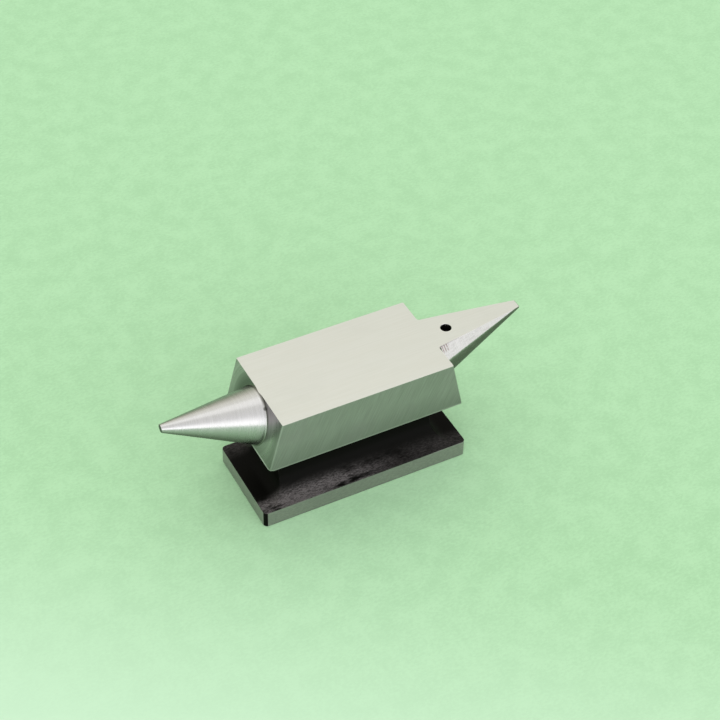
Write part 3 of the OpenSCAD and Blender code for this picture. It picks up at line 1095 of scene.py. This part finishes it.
def buildFoot():
    halfX, halfY = footHigh.x, footHigh.y
    plateTop = foot["plateThickness"]
    flangeUnder = seatLevel - foot["flangeThickness"]
    flangeX = min(-blockLow.x, blockHigh.x) - foot["flangeInset"]
    flangeY = blockHigh.y - foot["flangeInset"]
    wallX = halfX - foot["endLand"] - foot["endFillet"]
    wallY = halfY - foot["sideLand"] - foot["sideHollow"]
    room = flangeUnder - plateTop - foot["waistFlat"]
    highX = min(flangeX - foot["flangeLand"] - wallX, room - foot["endFillet"])
    highY = min(flangeY - foot["flangeLand"] - wallY, room - foot["sideHollow"])

    heights = set()
    digits = foot["levelDigits"]
    for radius in (foot["endFillet"], foot["sideHollow"]):
        rises = arc((0, 0), radius, 0, 90, foot["lowSteps"])
        heights.update(round(plateTop + radius - z, digits) for _, z in rises)
    for radius in (highX, highY):
        rises = arc((0, 0), radius, 0, 90, foot["highSteps"])
        heights.update(round(flangeUnder - radius + z, digits) for _, z in rises)

    rim, corner, hip = foot["rimRound"], foot["cornerRadius"], foot["hipRound"]
    rings = []
    for inset, z in arc((rim, rim), rim, 270, 180, foot["rimSteps"]):
        rings.append(plateRing(halfX - inset, halfY - inset, corner - inset, z))
    for inset, z in arc((rim, plateTop - rim), rim, 180, 90, foot["rimSteps"]):
        rings.append(plateRing(halfX - inset, halfY - inset, corner - inset, z))
    for z in sorted(heights):
        reachX = hollowReach(z, wallX, foot["endFillet"], highX, plateTop, flangeUnder)
        reachY = hollowReach(z, wallY, foot["sideHollow"], highY, plateTop, flangeUnder)
        rings.append(plateRing(reachX, reachY, hip, z))
    lip = foot["flangeLip"]
    for inset, z in arc((lip, flangeUnder + lip), lip, 270, 180, foot["lipSteps"]):
        rings.append(plateRing(flangeX - inset, flangeY - inset, hip + lip, z))
    rings.append(plateRing(flangeX, flangeY, hip + lip, seatLevel))
    bm = bmesh.new()
    loftRings(bm, rings)
    piece = newPiece("anvilFoot", bm)
    piece.data.materials.append(materials["blackIron"])

    holes = []
    for side in ("left", "right"):
        screwX, dowelX = middleOf("foot_screw_" + side).x, middleOf("foot_dowel_" + side).x
        depth, lip = foot["counterboreDepth"], foot["counterboreLip"]
        holes.append(drillDown(foot["counterbore"], screwX, 0, depth, lip))
        top, dowelLow = seatLevel + pastEnd, seatLevel - foot["dowelDepth"]
        holes.append(upright([(foot["screwHole"], pastEnd), (foot["screwHole"], top)], screwX))
        holes.append(upright([(foot["dowelHole"], dowelLow), (foot["dowelHole"], top)], dowelX))
    cutHoles(piece, holes, "blackIron")
    finishPiece(piece, "foot", foot["sharpFrom"])


buildFoot()


# Screws, washers and dowels keep their own shapes
for node, finish in (
    ("round_horn_set_screw", "blackOxide"), ("flat_horn_set_screw", "blackOxide"),
    ("foot_screw_left", "blackOxide"), ("foot_screw_right", "blackOxide"),
    ("foot_washer_left", "springSteel"), ("foot_washer_right", "springSteel"),
    ("foot_dowel_left", "dowelSteel"), ("foot_dowel_right", "dowelSteel"),
):
    mesh = frame["nodes"][node].data
    mesh.materials.clear()
    mesh.materials.append(materials[finish])
print("fasteners finished")


# Floor
floor = {
    "halfSize": 12000.0,
    "light": rgb(0.42, 0.675, 0.425),
    "dark": rgb(0.365, 0.605, 0.37),
    "front": rgb(0.57, 0.785, 0.605),  # painted light: a little paler towards the front
    "paleWay": (-0.62, -0.78, 0.0),
    "paleFrom": 20.0,
    "paleTo": 170.0,
    "cloud": (120.0, 4.0, 0.6),
    "cloudShare": 0.4,
    "fibre": (1200.0, 4.0, 0.75),
    "fibreStretch": (0.6, 1.0, 1.0),
    "mottle": (0.39, 0.61),
    "roughness": 0.9,
    "specular": 0.2,
    "cells": 8,
}


def buildFloor():
    material, tree, shader, coords = newMaterial("paperFloor")
    cloud = noise(tree, coords, *floor["cloud"])
    fibre = noise(tree, vectorCalc(tree, "MULTIPLY", coords, floor["fibreStretch"]), *floor["fibre"])
    clouds = calc(tree, "MULTIPLY", cloud, floor["cloudShare"])
    mottle = calc(tree, "ADD", clouds, calc(tree, "MULTIPLY", fibre, 1 - floor["cloudShare"]))
    paper = mixColour(tree, window(tree, mottle, *floor["mottle"]), floor["dark"], floor["light"])
    # painted light: the paper turns paler towards the front
    forward = vectorCalc(tree, "DOT_PRODUCT", coords, floor["paleWay"], "Value")
    pale = windowMm(tree, forward, (floor["paleFrom"], floor["paleTo"]))
    tree.links.new(mixColour(tree, pale, paper, floor["front"]), shader.inputs["Base Color"])
    shader.inputs["Roughness"].default_value = floor["roughness"]
    shader.inputs["Specular IOR Level"].default_value = floor["specular"]
    fromBelow = addNode(tree, "ShaderNodeNewGeometry").outputs["Backfacing"]
    clear = addNode(tree, "ShaderNodeBsdfTransparent").outputs[0]
    surface = addNode(tree, "ShaderNodeMixShader", {0: fromBelow, 1: shader.outputs[0], 2: clear})
    output = next(node for node in tree.nodes if node.bl_idname == "ShaderNodeOutputMaterial")
    tree.links.new(surface.outputs[0], output.inputs["Surface"])
    bm = bmesh.new()
    cells = floor["cells"]
    bmesh.ops.create_grid(bm, x_segments=cells, y_segments=cells, size=floor["halfSize"] * mm)
    piece = newPiece("floor", bm)
    piece.data.materials.append(material)


buildFloor()


# Light: the room as seen by the steel, then a soft lamp. Stops are (height, colour), height 1 overhead.
room = {
    "rear": [
        (0.0, rgb(0.33, 0.44, 0.27)), (0.17, rgb(0.38, 0.46, 0.33)), (0.29, rgb(0.47, 0.52, 0.38)),
        (0.44, rgb(0.62, 0.64, 0.52)), (0.57, rgb(0.75, 0.74, 0.64)), (0.70, rgb(1.00, 1.00, 0.88)),
        (0.80, rgb(1.10, 1.10, 1.00)), (1.0, rgb(0.98, 0.98, 0.94)),
    ],
    "side": [(0.0, rgb(0.42, 0.48, 0.38)), (0.4, rgb(0.62, 0.63, 0.58)), (1.0, rgb(0.98, 0.98, 0.94))],
    "front": [
        (0.0, rgb(1.98, 1.98, 2.00)), (0.25, rgb(1.90, 1.90, 1.92)), (0.44, rgb(1.50, 1.50, 1.51)),
        (0.6, rgb(1.05, 1.05, 1.05)), (0.8, rgb(1.00, 1.00, 0.98)), (1.0, rgb(0.98, 0.98, 0.94)),
    ],
    "strength": 1.25,
    "rearEdge": (35, 80),  # azimuths between which one side turns into the next
    "frontEdge": (105, 150),
}

lamps = [
    {"name": "topLamp", "azimuth": 75, "elevation": 76, "distance": 1.0, "size": (0.5, 0.5), "power": 0.44},
]


def colourRamp(tree, source, stops):
    node = addNode(tree, "ShaderNodeValToRGB", {0: source})
    elements = node.color_ramp.elements
    while len(elements) < len(stops):
        elements.new(1.0)
    for element, (position, colour) in zip(elements, stops):
        element.position = position
        element.color = colour
    return node.outputs["Color"]


def buildWorld():
    world = bpy.data.worlds.new("room")
    bpy.context.scene.world = world
    world.use_nodes = True
    tree = world.node_tree
    tree.nodes.clear()
    direction = split(tree, addNode(tree, "ShaderNodeTexCoord").outputs["Generated"])
    turn = calc(tree, "ABSOLUTE", calc(tree, "ARCTAN2", direction[0], direction[1]))
    rear, side, front = (colourRamp(tree, direction[2], room[name]) for name in ("rear", "side", "front"))
    first, last = (math.radians(angle) for angle in room["rearEdge"])
    sky = mixColour(tree, window(tree, turn, first, last), rear, side)
    first, last = (math.radians(angle) for angle in room["frontEdge"])
    sky = mixColour(tree, window(tree, turn, first, last), sky, front)
    background = addNode(tree, "ShaderNodeBackground", {"Color": sky, "Strength": room["strength"]})
    output = addNode(tree, "ShaderNodeOutputWorld")
    tree.links.new(background.outputs[0], output.inputs["Surface"])


def buildLamps():
    middle = (cadBox[0] + cadBox[1]) / 2
    for lamp in lamps:
        azimuth, elevation = math.radians(lamp["azimuth"]), math.radians(lamp["elevation"])
        level = math.cos(elevation)
        towards = Vector((math.sin(azimuth) * level, math.cos(azimuth) * level, math.sin(elevation)))
        light = bpy.data.lights.new(lamp["name"], "AREA")
        light.shape = "RECTANGLE"
        light.size, light.size_y = lamp["size"]
        light.energy = lamp["power"]
        holder = bpy.data.objects.new(lamp["name"], light)
        holder.location = middle + towards * lamp["distance"]
        holder.rotation_euler = towards.to_track_quat("Z", "Y").to_euler()
        holder.visible_camera = False
        bpy.context.scene.collection.objects.link(holder)


buildWorld()
buildLamps()
print("light ready")


# Camera
viewpoint = {
    "azimuth": -28.225,
    "elevation": 43.187,
    "roll": 1.25,
    "distance": 0.6189,
    "aim": Vector((0.01557, 0.01897, 0.0)),  # from the middle of the anvil
    "lens": 92.695,
    "sensor": 36,
    "clip": (0.01, 50),
}


def buildCamera():
    turn = Matrix.Rotation(math.radians(viewpoint["azimuth"]), 4, "Z")
    lean = Matrix.Rotation(math.radians(90 - viewpoint["elevation"]), 4, "X")
    roll = Matrix.Rotation(math.radians(viewpoint["roll"]), 4, "Z")
    camera = bpy.data.cameras.new("camera")
    camera.lens = viewpoint["lens"]
    camera.sensor_width = viewpoint["sensor"]
    camera.clip_start, camera.clip_end = viewpoint["clip"]
    holder = bpy.data.objects.new("camera", camera)
    middle = (cadBox[0] + cadBox[1]) / 2
    facing = turn @ lean @ roll
    back = facing.to_3x3() @ Vector((0, 0, 1))
    eye = middle + viewpoint["aim"] + back * viewpoint["distance"]
    holder.matrix_world = Matrix.Translation(eye) @ facing
    bpy.context.scene.collection.objects.link(holder)
    bpy.context.scene.camera = holder


buildCamera()
bpy.context.scene.view_settings.view_transform = "Standard"
print("camera ready")
